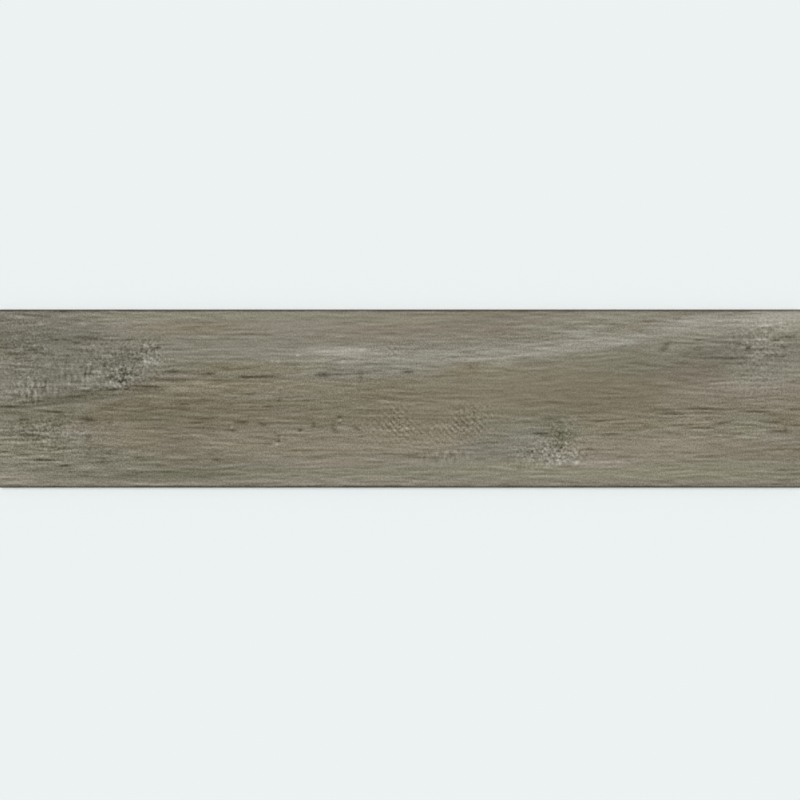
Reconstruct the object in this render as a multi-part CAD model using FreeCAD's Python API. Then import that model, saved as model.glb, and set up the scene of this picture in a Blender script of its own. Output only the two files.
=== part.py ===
# One wood look porcelain plank tile, pressed and fired as a single piece, in millimetres.
# It lies face up: +X runs along the plank, +Y across it and +Z up from its bed.
# The origin is the middle of the plane that the ribs of its back stand on.
import FreeCAD, Part

import math
import os

# The plank, over its widest edges and from the rib plane to its face
PLANK_LENGTH = 900.0
PLANK_WIDTH = 200.0
PLANK_THICKNESS = 9.5

# Its pressed edge, from the face down: a rounded arris, a straight land, a drafted wall and a broken heel
ARRIS_RADIUS = 0.9
LAND_HEIGHT = 4.6
WALL_DRAFT = 0.5
HEEL_HEIGHT = 1.0
HEEL_SETBACK = 0.8
PLAN_CORNER_RADIUS = 1.5

# Its keyed back: a waffle of shallow drafted pockets, the ribs between them and a plain rim round them
KEY_PITCH = 25.0
KEY_RIB_WIDTH = 3.2
KEY_DEPTH = 0.8
KEY_DRAFT = 0.6
KEY_CORNER_CUT = 3.0
BACK_RIM_WIDTH = 7.0

# The four corners of a rectangle, counter-clockwise from the one where X and Y are positive
CORNER_SIDES = ((1, 1), (-1, 1), (-1, -1), (1, -1))


def plank_outline(inset, height):
    """The plank's rounded outline at one height, set in from its widest edges, as a closed wire."""
    half_length = PLANK_LENGTH / 2 - inset
    half_width = PLANK_WIDTH / 2 - inset
    bulge = PLAN_CORNER_RADIUS * (1 - math.sqrt(0.5))
    corners = []
    for side_x, side_y in CORNER_SIDES:
        on_end = FreeCAD.Vector(side_x * half_length, side_y * (half_width - PLAN_CORNER_RADIUS), height)
        on_side = FreeCAD.Vector(side_x * (half_length - PLAN_CORNER_RADIUS), side_y * half_width, height)
        middle = FreeCAD.Vector(side_x * (half_length - bulge), side_y * (half_width - bulge), height)
        ends = (on_end, on_side) if side_x == side_y else (on_side, on_end)
        corners.append((ends[0], middle, ends[1]))
    edges = []
    for corner, following in zip(corners, corners[1:] + corners[:1]):
        edges.append(Part.Arc(*corner).toShape())
        edges.append(Part.makeLine(corner[2], following[0]))
    return Part.Wire(edges)


def pressed_blank():
    """The plank with a plain back: heel, drafted wall and land, with the edges of its face rounded over."""
    land_bottom = PLANK_THICKNESS - LAND_HEIGHT
    bed = plank_outline(WALL_DRAFT + HEEL_SETBACK, 0)
    heel_top = plank_outline(WALL_DRAFT, HEEL_HEIGHT)
    widest = plank_outline(0, land_bottom)
    heel = Part.makeLoft([bed, heel_top], True, True)
    wall = Part.makeLoft([heel_top, widest], True, True)
    land = Part.Face(widest).extrude(FreeCAD.Vector(0, 0, LAND_HEIGHT))
    blank = heel.fuse([wall, land]).removeSplitter()
    below_face = PLANK_THICKNESS - ARRIS_RADIUS / 2
    face_edges = [edge for edge in blank.Edges if edge.BoundBox.ZMin > below_face]
    return blank.makeFillet(ARRIS_RADIUS, face_edges)


def key_pocket(size_x, size_y):
    """One pocket of the back, standing on the rib plane, with drafted walls and clipped corners."""
    half_x = size_x / 2
    half_y = size_y / 2
    floor_x = half_x - KEY_DRAFT
    floor_y = half_y - KEY_DRAFT
    mouth = [-half_x, 0, -half_y]
    floor_start = [-floor_y, -floor_x]
    far_mouth = [half_x, KEY_DEPTH, half_y]
    floor_end = [floor_y, floor_x]
    # The wedge tapers along its own Y, which is then turned up to +Z
    pocket = Part.makeWedge(*mouth, *floor_start, *far_mouth, *floor_end)
    pocket.rotate(FreeCAD.Vector(0, 0, 0), FreeCAD.Vector(1, 0, 0), 90)
    corner_edges = [edge for edge in pocket.Edges if edge.BoundBox.ZLength > KEY_DEPTH / 2]
    return pocket.makeChamfer(KEY_CORNER_CUT, corner_edges)


def pockets_along(extent):
    """How many pockets fill one direction between the plain rims, and their even spacing."""
    back_extent = extent - 2 * (WALL_DRAFT + HEEL_SETBACK)
    waffle_extent = back_extent - 2 * BACK_RIM_WIDTH + KEY_RIB_WIDTH
    count = round(waffle_extent / KEY_PITCH)
    return count, waffle_extent / count


def key_waffle():
    """Every pocket of the back, in columns along the plank and rows across it."""
    columns, spacing_x = pockets_along(PLANK_LENGTH)
    rows, spacing_y = pockets_along(PLANK_WIDTH)
    pocket = key_pocket(spacing_x - KEY_RIB_WIDTH, spacing_y - KEY_RIB_WIDTH)
    pockets = []
    for column in range(columns):
        x = (column - (columns - 1) / 2) * spacing_x
        for row in range(rows):
            y = (row - (rows - 1) / 2) * spacing_y
            pockets.append(pocket.translated(FreeCAD.Vector(x, y, 0)))
    return pockets


def plank_tile():
    """The finished tile: the pressed blank with the waffle sunk into its back."""
    return pressed_blank().cut(key_waffle()).Solids[0]


def main():
    """Builds the tile and writes it to parts/."""
    tile = plank_tile()
    os.makedirs("parts", exist_ok=True)
    tile.exportStep("parts/plank_tile.step")
    print("plank_tile:", len(tile.Faces), "faces,", round(tile.Volume / 1000, 1), "cubic centimetres")


main()
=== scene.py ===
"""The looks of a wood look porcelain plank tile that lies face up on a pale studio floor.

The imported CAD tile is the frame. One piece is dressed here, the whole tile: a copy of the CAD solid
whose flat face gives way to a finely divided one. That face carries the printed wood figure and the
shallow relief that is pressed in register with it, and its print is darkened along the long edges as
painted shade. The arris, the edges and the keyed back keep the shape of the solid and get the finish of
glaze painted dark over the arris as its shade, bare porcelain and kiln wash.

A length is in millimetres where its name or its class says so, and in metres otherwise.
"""

import logging
import math
from dataclasses import dataclass
from dataclasses import field
from dataclasses import replace
from enum import Enum

import bpy
import numpy as np
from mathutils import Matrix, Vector
from mathutils import noise


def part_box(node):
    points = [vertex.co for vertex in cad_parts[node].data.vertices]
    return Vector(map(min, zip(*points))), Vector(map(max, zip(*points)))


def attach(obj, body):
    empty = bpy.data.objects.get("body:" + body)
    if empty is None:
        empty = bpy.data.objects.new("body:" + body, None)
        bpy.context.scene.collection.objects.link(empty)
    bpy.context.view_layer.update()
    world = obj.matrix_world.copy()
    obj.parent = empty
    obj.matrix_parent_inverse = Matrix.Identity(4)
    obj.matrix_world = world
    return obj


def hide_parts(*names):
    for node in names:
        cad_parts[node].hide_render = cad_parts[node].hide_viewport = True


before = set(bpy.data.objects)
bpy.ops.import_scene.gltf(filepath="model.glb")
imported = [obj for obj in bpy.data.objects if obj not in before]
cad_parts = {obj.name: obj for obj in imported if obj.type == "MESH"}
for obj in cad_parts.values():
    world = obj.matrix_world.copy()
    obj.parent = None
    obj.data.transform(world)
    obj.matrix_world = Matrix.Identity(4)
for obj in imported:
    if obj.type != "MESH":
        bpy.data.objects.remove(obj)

LOG = logging.getLogger("plank_tile")

MM = 0.001
# Points that are nearer to each other than this lie at the same place
TOUCH = 0.001 * MM

Socket = bpy.types.NodeSocket
# What a shader node's input takes: a plain number, a plain vector or another node's output
Feed = float | tuple[float, ...] | Socket
Colour = tuple[float, float, float]
Span = tuple[float, float]

# How far a layer's seed moves the noise that is read, in swells along its three axes
SEED_STEPS = (1.0, 0.37, 0.11)


def smooth_step(span: Span, values: np.ndarray) -> np.ndarray:
    """Eases each value from 0 at and below the span's low end to 1 at and above its high end."""
    low, high = span
    share = np.clip((values - low) / (high - low), 0.0, 1.0)
    return share * share * (3.0 - 2.0 * share)


def focus(piece: bpy.types.Object) -> None:
    """Leaves one object selected and active.

    Args:
        piece: The object that the next operators work on.
    """
    bpy.ops.object.select_all(action="DESELECT")
    piece.select_set(True)
    bpy.context.view_layer.objects.active = piece


class Tint(Enum):
    """The leanings of colour that the print mixes, as warmth and blush.

    Warmth runs from a cool grey at -1 to a yellow brown at +1. Blush runs from green at -1 to pink at +1.
    """

    ASH = (0.0, 0.0)
    SILVER = (-0.60, -0.70)
    FROST = (-0.86, -1.30)
    SLATE = (-0.35, -0.60)
    MOSS = (0.20, -0.80)
    OLIVE = (0.60, -0.60)
    SAGE = (-0.42, -1.10)
    SAND = (0.00, 0.28)
    PEARL = (-0.95, -0.65)
    PINK = (0.00, 0.90)
    ROSE = (0.42, 1.05)
    CLAY = (0.90, 1.35)
    BARK = (0.80, 1.00)
    UMBER = (1.20, 1.05)


class Break(Enum):
    """The small figures that the grain breaks into, each a channel of one attribute."""

    RIPPLE = 0
    FLECK = 1
    SPECKLE = 2
    VIGOUR = 3


class Kind(Enum):
    """The kinds of attribute on the mesh, as Blender's data type and the key of its value."""

    NUMBER = ("FLOAT", "value")
    VECTOR = ("FLOAT_VECTOR", "vector")
    CHANNELS = ("FLOAT_COLOR", "color")


@dataclass(frozen=True)
class GrainGuide:
    """One line that the grain follows along the plank, drawn and eased at its corners.

    Attributes:
        across: How far across the board the line lay before the board's growth bent it, in mm.
        points: The line's points as (x, y) in mm, from left to right.
    """

    across: float
    points: tuple[tuple[float, float], ...]

    def height_at(self, x: np.ndarray) -> np.ndarray:
        """Where the line runs.

        Args:
            x: Places along the plank, in mm.

        Returns:
            The line's y at each of them, in mm.
        """
        step = 2.0
        past_end = 500.0
        easing = np.hanning(25)
        margin = len(easing) // 2
        stations = np.arange(-past_end, past_end + step, step)
        xs, ys = zip(*self.points)
        drawn = np.interp(stations, xs, ys)
        padded = np.pad(drawn, margin, mode="edge")
        eased = np.convolve(padded, easing / easing.sum(), mode="valid")
        return np.interp(x, stations, eased)


@dataclass(frozen=True)
class Patch:
    """A long oval of the figure that fades out softly.

    Attributes:
        x: Its middle along the plank, in mm.
        y: Its middle across the plank, in mm.
        reach: Half its length along the grain, in mm.
        spread: Half its width across the grain, in mm.
        lean: How far it turns, in degrees, counter-clockwise.
    """

    x: float
    y: float
    reach: float
    spread: float
    lean: float = field(default=0.0, kw_only=True)

    def weight(self, flow: np.ndarray, middle: np.ndarray) -> np.ndarray:
        """How strongly the patch shows.

        Args:
            flow: Where the points lie along and across the grain or the plank, in mm.
            middle: Where the patch's middle lies, in the same coordinates.

        Returns:
            One share from 0 to 1 for each point.
        """
        steepness = 1.5
        along, across = (flow - middle).T
        turn = math.radians(self.lean)
        forward = along * math.cos(turn) + across * math.sin(turn)
        sideways = across * math.cos(turn) - along * math.sin(turn)
        distance = (forward / self.reach) ** 2 + (sideways / self.spread) ** 2
        return np.exp(-(distance**steepness))


@dataclass(frozen=True)
class Stain(Patch):
    """A patch that pulls the print towards its own tone.

    Attributes:
        level: How much lighter or darker than the mean its tone is, as a share.
        tint: Its leaning of colour.
    """

    level: float
    tint: Tint


@dataclass(frozen=True)
class Wash(Patch):
    """A thin wash that is added to whatever tone lies below it.

    Attributes:
        level: The change of tone at its middle, as a share.
        warmth: The change towards brown at its middle.
        blush: The change towards pink at its middle.
    """

    level: float
    warmth: float = 0.0
    blush: float = 0.0


@dataclass(frozen=True)
class Stroke(Patch):
    """A thin straight line that darkens or lightens what it crosses. A dark one is also cut into the relief.

    Attributes:
        level: The change of tone at its middle, as a share.
    """

    level: float


@dataclass(frozen=True)
class Dot:
    """A small round spot, dark where fibres end in the face or light where they catch the print.

    Attributes:
        x: Its middle along the plank, in mm.
        y: Its middle across the plank, in mm.
        radius: How large it is, in mm.
        level: The change of tone at its middle, as a share.
    """

    x: float
    y: float
    radius: float
    level: float

    def weight(self, places: np.ndarray) -> np.ndarray:
        """How strongly the dot shows at each place, from 0 to 1."""
        squared = ((places - (self.x, self.y)) ** 2).sum(axis=1)
        return np.exp(-squared / self.radius**2)


@dataclass(frozen=True)
class Breakup(Patch):
    """A patch where the grain breaks into a small figure, or where its streaks gain or lose vigour.

    Attributes:
        kind: Which small figure it is.
        strength: How strongly it shows, or for vigour the share that is gained or lost.
    """

    kind: Break
    strength: float


@dataclass(frozen=True)
class Knot:
    """A small knot that the grain bends round.

    Attributes:
        x: Its middle along the plank, in mm.
        y: Its middle across the plank, in mm.
        radius: How far its pull reaches, in mm.
        push: The share of its own width by which it holds the grain apart.
    """

    x: float
    y: float
    radius: float
    push: float


GUIDES = (
    GrainGuide(-104.0, ((-460, -104), (460, -104))),
    GrainGuide(-60.0, ((-460, -50), (-420, -58), (-370, -69), (-320, -70), (-240, -65), (460, -60))),
    GrainGuide(-15.0, ((-460, -28), (-400, -26), (-340, -18), (-100, -17), (200, -16), (460, -8))),
    GrainGuide(
        28.0,
        (
            *((-460, -9), (-404, -4), (-365, 5), (-310, 15), (-268, 24), (-200, 26), (-60, 24), (30, 34)),
            *((112, 41), (168, 45.5), (224, 52.5), (280, 60), (336, 69), (400, 79), (460, 88)),
        ),
    ),
    GrainGuide(104.0, ((-460, 104), (60, 104), (460, 138))),
)

KNOTS = (
    Knot(-314.0, 19.0, 12.0, 0.30),
    Knot(180.0, -36.0, 18.0, 0.45),
    Knot(298.0, 54.0, 11.0, 0.25),
    Knot(391.0, 57.0, 9.0, 0.25),
    Knot(-80.0, 27.0, 8.0, 0.25),
)

# The broad tones first, and then what lies over them
STAINS = (
    Stain(0, 88, 420, 13, 0.024, Tint.SAND),
    Stain(-240, 80, 60, 9, -0.006, Tint.CLAY),
    Stain(-20, 78, 60, 8, 0.006, Tint.ROSE),
    Stain(95, 89, 55, 7, -0.03, Tint.SAND),
    Stain(112, 76, 26, 6, -0.015, Tint.ROSE),
    Stain(-200, 92, 180, 5, 0.02, Tint.MOSS),
    Stain(215, 86, 80, 10, 0.05, Tint.SLATE),
    Stain(-185, 54, 90, 13, 0.022, Tint.SLATE),
    Stain(60, 49, 170, 11, 0.062, Tint.SILVER),
    Stain(-66, 54, 44, 5.5, 0.125, Tint.SILVER),
    Stain(150, 52, 70, 8, 0.09, Tint.SILVER),
    Stain(240, 63, 60, 9, 0.098, Tint.PEARL),
    Stain(205, 73, 28, 6, 0.085, Tint.PEARL),
    Stain(330, 85, 50, 11, 0.15, Tint.PEARL),
    Stain(422, 88, 66, 19, 0.2, Tint.PEARL),
    Stain(6, 33, 38, 7, 0.022, Tint.SILVER),
    Stain(40, 48, 42, 6, 0.04, Tint.SILVER),
    Stain(74, 31, 24, 6, -0.01, Tint.UMBER),
    Stain(-100, 34, 22, 7, 0.059, Tint.MOSS),
    Stain(-70, 29, 32, 6, -0.03, Tint.SLATE),
    Stain(-186, 34, 85, 8.5, -0.045, Tint.UMBER),
    Stain(150, 8, 260, 20, -0.02, Tint.UMBER),
    Stain(-180, 14, 130, 10, -0.012, Tint.UMBER),
    Stain(-130, -18, 170, 17, -0.062, Tint.UMBER),
    Stain(-250, -10, 75, 14, -0.08, Tint.UMBER),
    Stain(-295, -14, 28, 14, -0.092, Tint.UMBER),
    Stain(-336, -18, 30, 11, -0.075, Tint.UMBER),
    Stain(-20, 8, 40, 11, -0.034, Tint.UMBER),
    Stain(225, -9, 75, 13, -0.05, Tint.UMBER),
    Stain(245, -27, 60, 12, 0, Tint.BARK),
    Stain(305, 27, 60, 13, -0.03, Tint.BARK),
    Stain(290, 41, 72, 8, -0.044, Tint.MOSS),
    Stain(20, -40, 80, 20, 0.016, Tint.CLAY),
    Stain(-240, -44, 125, 15, 0.004, Tint.CLAY),
    Stain(-248, -54, 26, 8, -0.036, Tint.CLAY),
    Stain(-157, -37, 20, 9, -0.03, Tint.BARK),
    Stain(-90, -52, 90, 13, 0.012, Tint.CLAY),
    Stain(290, -54, 100, 15, 0.058, Tint.ROSE),
    Stain(390, 9.5, 85, 10.5, 0.084, Tint.PINK),
    Stain(370, -7, 80, 9, 0.012, Tint.ROSE),
    Stain(432, -6, 30, 10, 0.03, Tint.ROSE),
    Stain(405, -61, 60, 10, 0.02, Tint.ROSE),
    Stain(300, -71, 40, 6, 0.035, Tint.ROSE),
    Stain(-255, -84, 110, 9, -0.078, Tint.MOSS),
    Stain(-60, -84, 120, 8, 0, Tint.MOSS),
    Stain(-75, -71, 55, 6, 0.045, Tint.ROSE),
    Stain(-245, -70, 70, 6, -0.055, Tint.BARK),
    Stain(130, -80, 95, 12, 0.034, Tint.MOSS),
    Stain(300, -82, 150, 12, 0.04, Tint.MOSS),
    Stain(225, -72, 45, 7, 0.085, Tint.PINK),
    Stain(0, -94, 440, 4, 0.02, Tint.SAND),
    # The swirl at the left end
    Stain(-425, 68, 50, 14, -0.125, Tint.MOSS),
    Stain(-380, 66, 55, 12, -0.075, Tint.SLATE),
    Stain(-415, 90, 85, 9, -0.05, Tint.SLATE),
    Stain(-385, 32, 62, 22, -0.058, Tint.SAGE),
    Stain(-308, 42, 34, 15, -0.072, Tint.SLATE),
    Stain(-292, 62, 26, 7, -0.036, Tint.ASH),
    Stain(-275, 44, 30, 6, 0.02, Tint.SILVER, lean=35),
    Stain(-242, 36, 24, 6, -0.035, Tint.MOSS),
    Stain(-385, -16, 30, 15, -0.105, Tint.OLIVE),
    Stain(-432, -14, 26, 11, -0.095, Tint.OLIVE),
    Stain(-396, -4, 66, 8.5, -0.13, Tint.MOSS),
    Stain(-318, 19, 34, 7, -0.09, Tint.SLATE),
    Stain(-340, 3, 36, 7, -0.13, Tint.OLIVE),
    Stain(-322, -6, 30, 6, -0.092, Tint.UMBER),
    Stain(-293, 10, 28, 10, -0.11, Tint.BARK),
    # The flecked corner below it
    Stain(-415, -55, 60, 30, -0.016, Tint.MOSS),
    Stain(-404, -25, 40, 13, -0.1, Tint.OLIVE),
    Stain(-426, -38, 20, 11, -0.07, Tint.MOSS),
    Stain(-365, -39, 22, 9, 0.012, Tint.ASH),
    Stain(-335, -66, 30, 10, -0.064, Tint.MOSS),
    Stain(-285, -70, 20, 7, -0.06, Tint.MOSS),
    Stain(-432, -90, 32, 8, 0.048, Tint.ASH),
    # The knot with its grey halo, right of the middle
    Stain(132, -28, 45, 6.5, 0, Tint.MOSS),
    Stain(106, -55, 38, 14, -0.018, Tint.SLATE),
    Stain(145, -42, 34, 9, 0.03, Tint.FROST),
    Stain(140, -58, 28, 9, 0.01, Tint.SILVER),
    Stain(181, -38, 18, 13, -0.055, Tint.MOSS),
    Stain(182, -67, 24, 10, 0.085, Tint.SILVER),
    Stain(235, -54, 40, 11, 0.028, Tint.ROSE),
    # The dark growth at the right end
    Stain(300, 58, 22, 9, 0.032, Tint.SLATE),
    Stain(362, 54, 50, 12, -0.026, Tint.SLATE),
    Stain(428, 62, 36, 11, 0.005, Tint.SLATE),
    Stain(415, 31, 55, 9, 0.04, Tint.SILVER),
    Stain(325, 28, 34, 9, -0.02, Tint.ROSE),
    Stain(438, -24, 22, 12, 0.004, Tint.CLAY),
    Stain(392, -34, 22, 14, 0.018, Tint.MOSS),
    Stain(336, -26, 30, 9.5, 0.058, Tint.ROSE),
)

WASHES = (
    # Along the upper edge
    Wash(-360, 91, 90, 6, 0, 0.2, 0.25),
    Wash(60, 90, 100, 7, 0, 0.35, -0.1),
    Wash(60, 77, 90, 7, 0, 0.2, 0.6),
    Wash(337, 70, 28, 12, 0.055, -0.2, -0.25),
    Wash(438, 77, 34, 8, 0.08),
    Wash(202, 64, 24, 6, 0.06),
    # Where the light band meets the brown wood
    Wash(112, 37, 24, 6, 0.06, 0, -0.4),
    Wash(-24, 38, 20, 6, -0.05),
    Wash(-230, 60, 90, 14, -0.022, 0.12),
    Wash(-235, 32, 40, 7, -0.035),
    Wash(320, 37, 60, 7, -0.035),
    Wash(410, 24, 45, 6, 0.03, 0, -0.3),
    Wash(410, 8, 45, 6, 0, 0, 0.55),
    Wash(438, 64, 24, 6, -0.05),
    Wash(400, 38, 45, 7, -0.045, 0.15),
    Wash(250, 76, 22, 6, 0.045),
    Wash(224, 80, 56, 13, 0, 0.15),
    Wash(-150, 36, 60, 7, 0.01, -0.15, -0.35),
    Wash(215, 48, 45, 7, 0, 0, -0.45),
    # In the brown wood
    Wash(-235, -4, 100, 10, -0.01, 0.3, 0.5),
    Wash(-225, -29, 55, 9, -0.055, 0.3, 0.4),
    Wash(-262, -48, 45, 11, -0.05),
    Wash(50, -25, 80, 10, -0.038, 0.22, 0.32),
    Wash(158, -29, 24, 8, -0.045, 0.25),
    Wash(202, -44, 24, 8, 0, 0.3),
    Wash(395, -44, 42, 7, 0.05, -0.18, 0.3),
    Wash(-140, -16, 50, 8, 0.015, -0.25, 0.15),
    Wash(-140, 10, 28, 6, 0.025, -0.28, 0.1),
    Wash(-335, -28, 40, 9, 0, 0.2, 0.45),
    Wash(130, -42, 45, 8, -0.02, 0.25),
    Wash(90, -17, 45, 6, 0, 0.25, 0.1),
    Wash(150, 5, 110, 13, 0, -0.18, 0.14),
    Wash(280, -31, 60, 8, 0, 0.22, 0.05),
    Wash(-292, 8, 26, 8, 0, 0.3, 0.1),
    # Below it
    Wash(-375, -44, 42, 7, -0.048),
    Wash(-382, -80, 26, 13, -0.05),
    Wash(-202, -83, 80, 10, -0.028, 0.3, 0.2),
    Wash(-190, -62, 46, 11, -0.012, 0.28, 0.1),
    Wash(0, -71, 38, 7, 0, 0.25, 0.1),
    Wash(-290, -52, 24, 22, 0, 0.22),
    Wash(330, -54, 60, 14, 0, 0, 0.22),
)

STROKES = (
    # The dark line where the grey wood meets the brown
    Stroke(-250, 21, 22, 1.3, -0.16),
    Stroke(-257, 30, 9, 1.2, -0.18),
    Stroke(-213, 28, 6, 1.2, -0.18),
    Stroke(-202, 21, 16, 1.2, -0.16),
    Stroke(-174, 24.2, 9, 1.5, -0.27),
    Stroke(-150, 24.2, 17, 1.4, -0.24),
    Stroke(-86, 26.5, 8, 2.4, -0.2),
    Stroke(-70, 27.5, 7, 1.1, -0.15),
    Stroke(-44, 26, 3, 7, -0.1),
    Stroke(9, 29.8, 7, 1.4, -0.28),
    Stroke(79, 36, 2, 2.6, -0.12),
    Stroke(50, 28, 14, 1.2, -0.07),
    Stroke(150, 40, 26, 1.3, -0.06),
    Stroke(-364, 2.5, 14, 1.8, -0.16),
    Stroke(-440, -9, 12, 1.4, -0.15),
    Stroke(-330, 10, 16, 1.3, -0.13),
    Stroke(-387, -15, 8, 1.3, -0.1),
    # The light lines of the pale band
    Stroke(-64, 53, 36, 1.4, 0.09),
    Stroke(-41, 55.5, 4, 1.5, 0.12),
    Stroke(-25, 51, 9, 1.2, 0.08),
    Stroke(75, 44, 30, 1.1, 0.06),
    Stroke(118, 42, 12, 1.1, 0.07),
    Stroke(240, 66, 20, 1.4, 0.06),
    Stroke(409, 81.5, 8, 1.4, 0.18),
    Stroke(426, 85, 6, 1.4, 0.18),
    Stroke(417, 77, 4, 1.3, -0.16),
    Stroke(385, 94, 30, 1.4, 0.05),
    # The knots and specks at the left end
    Stroke(-272, 57, 4, 1.3, -0.28),
    Stroke(-353, 12, 6, 1.3, 0.22),
    Stroke(-320, 14, 6, 1.2, 0.18),
    Stroke(-354, 9, 7, 1.3, -0.14),
    Stroke(-330, 10.5, 10, 1.2, -0.05),
    Stroke(-411, 54.5, 12, 1.4, -0.2),
    Stroke(-445, 57, 8, 1.3, -0.12),
    Stroke(-394, 69, 8, 1.5, -0.13, lean=-14),
    Stroke(-380, 66, 10, 1.5, -0.12),
    Stroke(-363, 62.5, 5, 1.4, -0.16),
    Stroke(-350, 68, 16, 2.6, -0.11),
    Stroke(-428, 45, 6, 1.1, -0.12),
    Stroke(-374, 47, 5, 1.5, -0.1),
    # The dashes of the flecked corner
    Stroke(-422, -24, 6, 2, -0.15),
    Stroke(-417, -43, 4, 2, -0.12),
    Stroke(-386, -29, 7, 3, -0.08),
    Stroke(-408, -46, 5, 1.6, -0.18),
    Stroke(-350, -44, 3, 4, -0.12, lean=-50),
    Stroke(-384, -43, 1.6, 5, -0.11),
    Stroke(-446, -59.5, 7, 1.2, -0.16),
    Stroke(-447, -63, 9, 1.1, 0.14),
    Stroke(-422, -63, 9, 1.2, -0.2),
    Stroke(-400, -69, 16, 1.2, -0.19),
    Stroke(-374, -75, 6, 1.2, -0.18),
    Stroke(-425, -66, 10, 1.2, 0.1),
    Stroke(-350, -62.5, 4, 1.2, -0.11),
    Stroke(-333, -70, 6, 2.2, -0.12),
    Stroke(-294, -66, 6, 1.3, -0.13),
    Stroke(-270, -75, 7, 1.3, -0.12),
    # The dashes of the brown wood
    Stroke(-350, -23.5, 9, 3, -0.16),
    Stroke(-325, -27, 3, 1.7, -0.2),
    Stroke(-280, -24, 26, 1.4, -0.09),
    Stroke(-270, -33, 9, 1.4, -0.14),
    Stroke(-244, -6, 6, 1.3, -0.12),
    Stroke(-240, -12.5, 6, 1.3, -0.09),
    Stroke(-228, -27, 9, 1.5, -0.13),
    Stroke(-216, -33, 14, 1.3, -0.12),
    Stroke(-178, -26.5, 9, 1.6, -0.22),
    Stroke(-190, -35.5, 9, 1.4, -0.13),
    Stroke(-154, -29, 8, 2, -0.14, lean=-25),
    Stroke(-148, -9, 6, 1.4, -0.11),
    Stroke(-166, -9, 6, 1.3, -0.1),
    Stroke(-148, -51, 5, 1.4, -0.14),
    Stroke(-112, -36, 3, 1.8, -0.12),
    Stroke(-97, -30, 2.6, 4, -0.11, lean=-20),
    Stroke(-74, -33, 3, 7, -0.13, lean=35),
    Stroke(-48, -34, 6, 1.8, -0.15, lean=-40),
    Stroke(-68, -21.5, 4, 1.3, -0.15),
    Stroke(-44, -43, 5, 1.2, -0.12),
    Stroke(-206, -68.5, 6, 1.3, -0.13),
    # The lines of the rosy wood at the right
    Stroke(206, -21, 7, 1.2, -0.15),
    Stroke(226, -25, 13, 1.4, -0.12, lean=6),
    Stroke(232, -39, 14, 1.3, -0.1),
    Stroke(215, -56, 8, 1.6, -0.1),
    Stroke(308, -17.5, 20, 1.2, -0.15),
    Stroke(345, -12, 28, 1.3, -0.2),
    Stroke(290, -12, 26, 1.1, -0.12),
    Stroke(395, -14.5, 18, 1.2, -0.16),
    Stroke(418, -18, 10, 1.3, -0.14),
    Stroke(443, -12, 9, 1.3, -0.14),
    Stroke(352, -21, 12, 1.2, -0.1),
    Stroke(338, -33, 24, 1.2, -0.15),
    Stroke(364, -27, 14, 1.5, -0.16, lean=12),
    Stroke(421, -36, 9, 1.4, -0.17),
    Stroke(421, -26.5, 9, 1.3, -0.12),
    Stroke(433, -34, 2.4, 5, -0.13),
    Stroke(443, -30, 8, 1.3, -0.12),
    Stroke(262, -36, 14, 1.3, -0.08),
    Stroke(352, -51, 12, 1.4, -0.1, lean=-8),
    # The dark growth at the right end
    Stroke(297, 57.5, 7.5, 4, -0.17, lean=45),
    Stroke(311, 89, 4, 3, -0.09),
    Stroke(334, 66, 5, 1.4, -0.13),
    Stroke(334, 55, 6, 1.4, -0.12),
    Stroke(360, 45, 18, 1.4, -0.14),
    Stroke(376, 53.5, 4, 1.4, -0.11),
    Stroke(413, 78, 3, 1.3, -0.16),
    Stroke(424, 47, 14, 1.3, -0.12),
    Stroke(437, 69, 9, 1.3, -0.17),
    Stroke(422, 65.5, 5, 1.3, -0.18),
    Stroke(430, 58, 6, 1.3, -0.16),
    Stroke(409, 66, 7, 1.3, 0.17),
    Stroke(428, 63, 7, 1.3, 0.14),
    Stroke(421, 57, 6, 1.2, 0.1),
    Stroke(404, 48, 6, 1.2, 0.12),
    Stroke(340, 50, 12, 1.2, -0.12),
    Stroke(395, 48.5, 10, 1.1, 0.1),
    # The knot right of the middle
    Stroke(158, -39, 9, 1.6, -0.2),
    Stroke(181, -39, 2.6, 7, -0.09),
    Stroke(176, -69, 8, 1.5, 0.12),
)

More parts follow.
